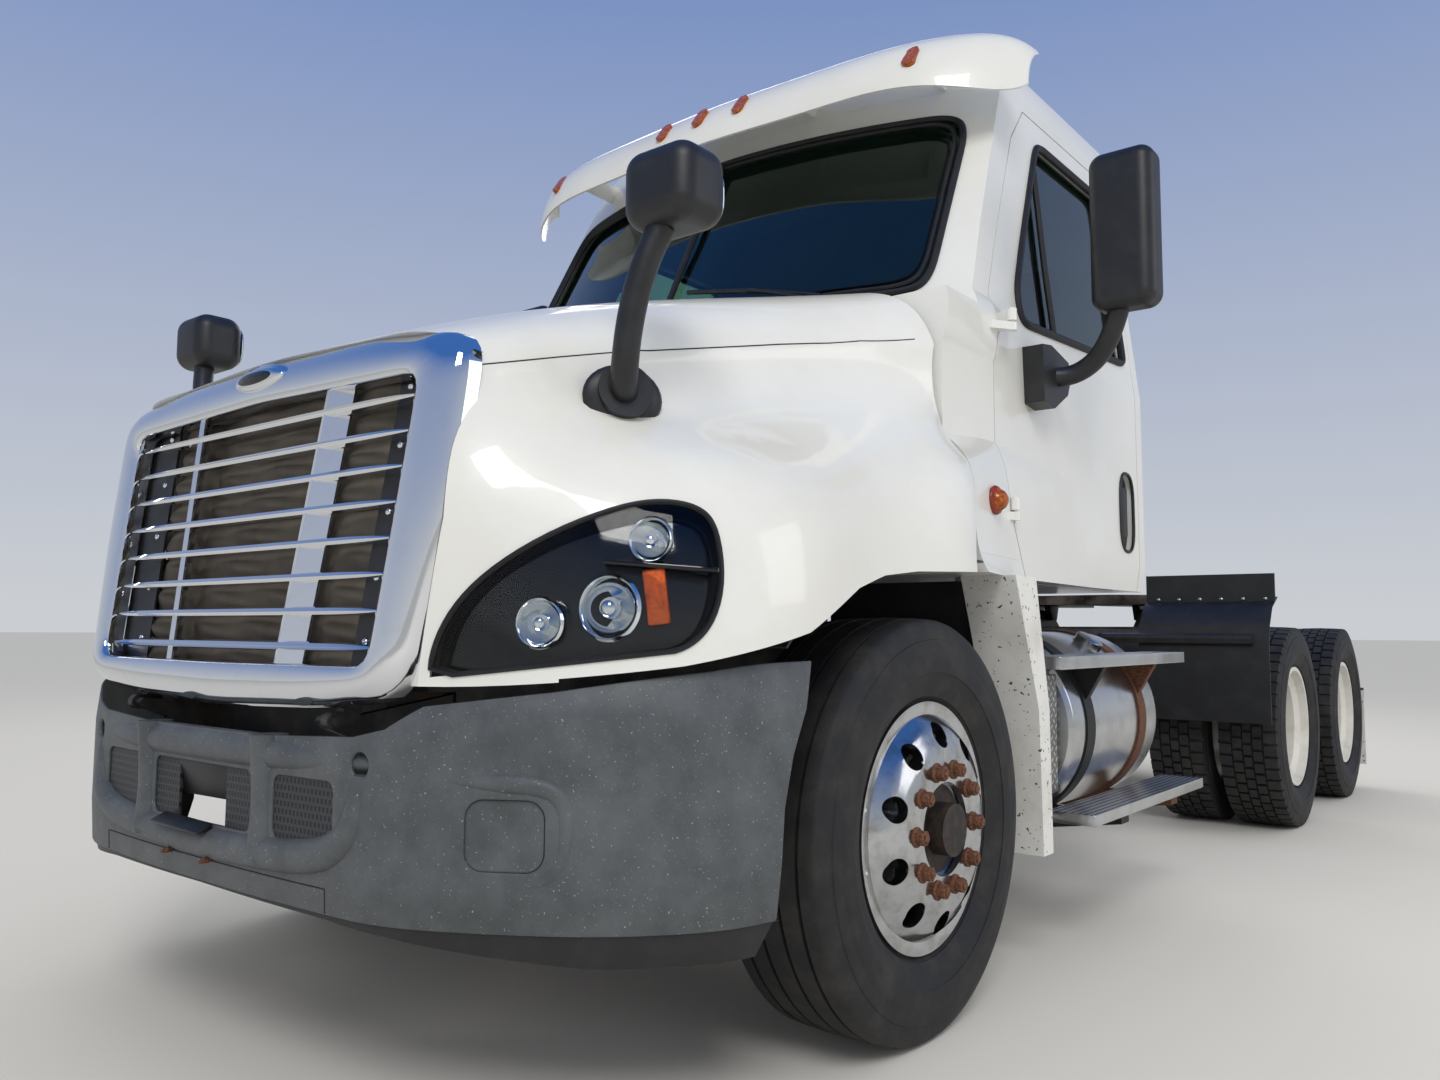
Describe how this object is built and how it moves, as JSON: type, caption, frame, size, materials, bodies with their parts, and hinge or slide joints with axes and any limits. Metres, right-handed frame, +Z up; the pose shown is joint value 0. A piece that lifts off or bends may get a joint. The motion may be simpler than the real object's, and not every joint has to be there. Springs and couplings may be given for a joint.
{
  "type": "semi truck tractor unit",
  "caption": "Conventional day-cab road tractor with a tilting hood, opening doors, steered front wheels, tandem drive axles with twin wheels, and a tilting fifth wheel.",
  "frame": {"origin": "on the ground under the middle of the overall length and width", "axes": "+X to the vehicle's left, +Y to its rear, +Z up"},
  "size_m": [2.904, 7.065, 3.006],
  "materials": {
    "frame_rails": "satin",
    "crossmembers": "satin",
    "frame_brackets": "satin",
    "front_axle": "rough",
    "suspension": "matte",
    "drive_axles": "rough",
    "engine": "rough",
    "radiator": "matte",
    "fuel_tank": "polished",
    "tank_straps": "satin",
    "steps": "tread plate",
    "exhaust_box": "satin",
    "tread_plate_box": "tread plate",
    "air_tanks": "satin",
    "fifth_wheel_base": "satin",
    "fifth_wheel_plate": "greased",
    "quarter_fenders": "satin",
    "mud_flaps": "matte",
    "bumper": "faded, grained",
    "air_dam": "matte",
    "closeout_panels": "gloss",
    "cab_front": "gloss",
    "cab_sides": "gloss",
    "cab_roof": "gloss",
    "cab_rear_wall": "gloss",
    "cab_floor": "satin",
    "cab_glass": "tinted",
    "dashboard": "matte",
    "seats": "woven",
    "steering_wheel": "matte",
    "sun_visor": "gloss",
    "marker_lamps": "clear amber",
    "hood": "gloss",
    "grille_surround": "polished",
    "grille_bars": "polished",
    "hood_hinges": "satin",
    "headlamps": "clear",
    "inner_fenders": "matte",
    "hood_mirrors": "matte",
    "tie_rod": "satin",
    "door_left": "gloss",
    "door_glass_left": "tinted",
    "door_mirror_left": "matte",
    "knuckle_left": "rough",
    "tyre_steer_left": "matte",
    "rim_steer_left": "gloss",
    "tyres_drive_front_left": "matte",
    "rims_drive_front_left": "gloss",
    "tyres_drive_rear_left": "matte",
    "rims_drive_rear_left": "gloss",
    "door_right": "gloss",
    "door_glass_right": "tinted",
    "door_mirror_right": "matte",
    "knuckle_right": "rough",
    "tyre_steer_right": "matte",
    "rim_steer_right": "gloss",
    "tyres_drive_front_right": "matte",
    "rims_drive_front_right": "gloss",
    "tyres_drive_rear_right": "matte",
    "rims_drive_rear_right": "gloss"
  },
  "bodies": {
    "chassis": {"frame_rails": "frame_rails", "crossmembers": "crossmembers", "frame_brackets": "frame_brackets", "front_axle": "front_axle", "suspension": "suspension", "drive_axles": "drive_axles", "engine": "engine", "radiator": "radiator", "fuel_tank": "fuel_tank", "tank_straps": "tank_straps", "steps": "steps", "exhaust_box": "exhaust_box", "tread_plate_box": "tread_plate_box", "air_tanks": "air_tanks", "fifth_wheel_base": "fifth_wheel_base", "quarter_fenders": "quarter_fenders", "mud_flaps": "mud_flaps", "bumper": "bumper", "air_dam": "air_dam", "closeout_panels": "closeout_panels", "cab_front": "cab_front", "cab_sides": "cab_sides", "cab_roof": "cab_roof", "cab_rear_wall": "cab_rear_wall", "cab_floor": "cab_floor", "cab_glass": "cab_glass", "dashboard": "dashboard", "seats": "seats", "steering_wheel": "steering_wheel", "sun_visor": "sun_visor", "marker_lamps": "marker_lamps"},
    "hood": {"hood": "hood", "grille_surround": "grille_surround", "grille_bars": "grille_bars", "hood_hinges": "hood_hinges", "headlamps": "headlamps", "inner_fenders": "inner_fenders", "hood_mirrors": "hood_mirrors"},
    "tie_rod": {"tie_rod": "tie_rod"},
    "fifth_wheel": {"fifth_wheel_plate": "fifth_wheel_plate"},
    "door_left": {"door_left": "door_left", "door_glass_left": "door_glass_left", "door_mirror_left": "door_mirror_left"},
    "knuckle_left": {"knuckle_left": "knuckle_left"},
    "wheel_steer_left": {"tyre_steer_left": "tyre_steer_left", "rim_steer_left": "rim_steer_left"},
    "wheels_drive_front_left": {"tyres_drive_front_left": "tyres_drive_front_left", "rims_drive_front_left": "rims_drive_front_left"},
    "wheels_drive_rear_left": {"tyres_drive_rear_left": "tyres_drive_rear_left", "rims_drive_rear_left": "rims_drive_rear_left"},
    "door_right": {"door_right": "door_right", "door_glass_right": "door_glass_right", "door_mirror_right": "door_mirror_right"},
    "knuckle_right": {"knuckle_right": "knuckle_right"},
    "wheel_steer_right": {"tyre_steer_right": "tyre_steer_right", "rim_steer_right": "rim_steer_right"},
    "wheels_drive_front_right": {"tyres_drive_front_right": "tyres_drive_front_right", "rims_drive_front_right": "rims_drive_front_right"},
    "wheels_drive_rear_right": {"tyres_drive_rear_right": "tyres_drive_rear_right", "rims_drive_rear_right": "rims_drive_rear_right"}
  },
  "joints": [
    {"name": "hood_tilt", "type": "hinge", "parent": "chassis", "child": "hood", "pos_m": [0, -3.4825, 0.785], "axis": [1, 0, 0], "range_deg": [0, 55]},
    {"name": "fifth_wheel_tilt", "type": "hinge", "parent": "chassis", "child": "fifth_wheel", "pos_m": [0, 1.9825, 1.08], "axis": [1, 0, 0], "range_deg": [-12, 12]},
    {"name": "door_left_hinge", "type": "hinge", "parent": "chassis", "child": "door_left", "pos_m": [1.112, -1.6855, 1.5], "axis": [0, 0, -1], "range_deg": [0, 70]},
    {"name": "steer_left", "type": "hinge", "parent": "chassis", "child": "knuckle_left", "pos_m": [0.87, -2.3175, 0.503], "axis": [0, 0, 1], "range_deg": [-38, 38]},
    {"name": "wheel_steer_left_spin", "type": "hinge", "parent": "knuckle_left", "child": "wheel_steer_left", "pos_m": [1.035, -2.3175, 0.503], "axis": [1, 0, 0], "continuous": true},
    {"name": "wheels_drive_front_left_spin", "type": "hinge", "parent": "chassis", "child": "wheels_drive_front_left", "pos_m": [0.9085, 1.5125, 0.503], "axis": [1, 0, 0], "continuous": true},
    {"name": "wheels_drive_rear_left_spin", "type": "hinge", "parent": "chassis", "child": "wheels_drive_rear_left", "pos_m": [0.9085, 2.8335, 0.503], "axis": [1, 0, 0], "continuous": true},
    {"name": "door_right_hinge", "type": "hinge", "parent": "chassis", "child": "door_right", "pos_m": [-1.112, -1.6855, 1.5], "axis": [0, 0, 1], "range_deg": [0, 70]},
    {"name": "steer_right", "type": "hinge", "parent": "chassis", "child": "knuckle_right", "pos_m": [-0.87, -2.3175, 0.503], "axis": [0, 0, 1], "range_deg": [-38, 38]},
    {"name": "wheel_steer_right_spin", "type": "hinge", "parent": "knuckle_right", "child": "wheel_steer_right", "pos_m": [-1.035, -2.3175, 0.503], "axis": [1, 0, 0], "continuous": true},
    {"name": "wheels_drive_front_right_spin", "type": "hinge", "parent": "chassis", "child": "wheels_drive_front_right", "pos_m": [-0.9085, 1.5125, 0.503], "axis": [1, 0, 0], "continuous": true},
    {"name": "wheels_drive_rear_right_spin", "type": "hinge", "parent": "chassis", "child": "wheels_drive_rear_right", "pos_m": [-0.9085, 2.8335, 0.503], "axis": [1, 0, 0], "continuous": true},
    {"name": "tie_rod_pin", "type": "hinge", "parent": "knuckle_left", "child": "tie_rod", "pos_m": [0.87, -2.1275, 0.375], "axis": [0, 0, 1], "range_deg": [-38, 38]}
  ],
  "couplings": [
    {"joint": "steer_right", "follows": "steer_left", "ratio": 1},
    {"joint": "tie_rod_pin", "follows": "steer_left", "ratio": -1}
  ]
}
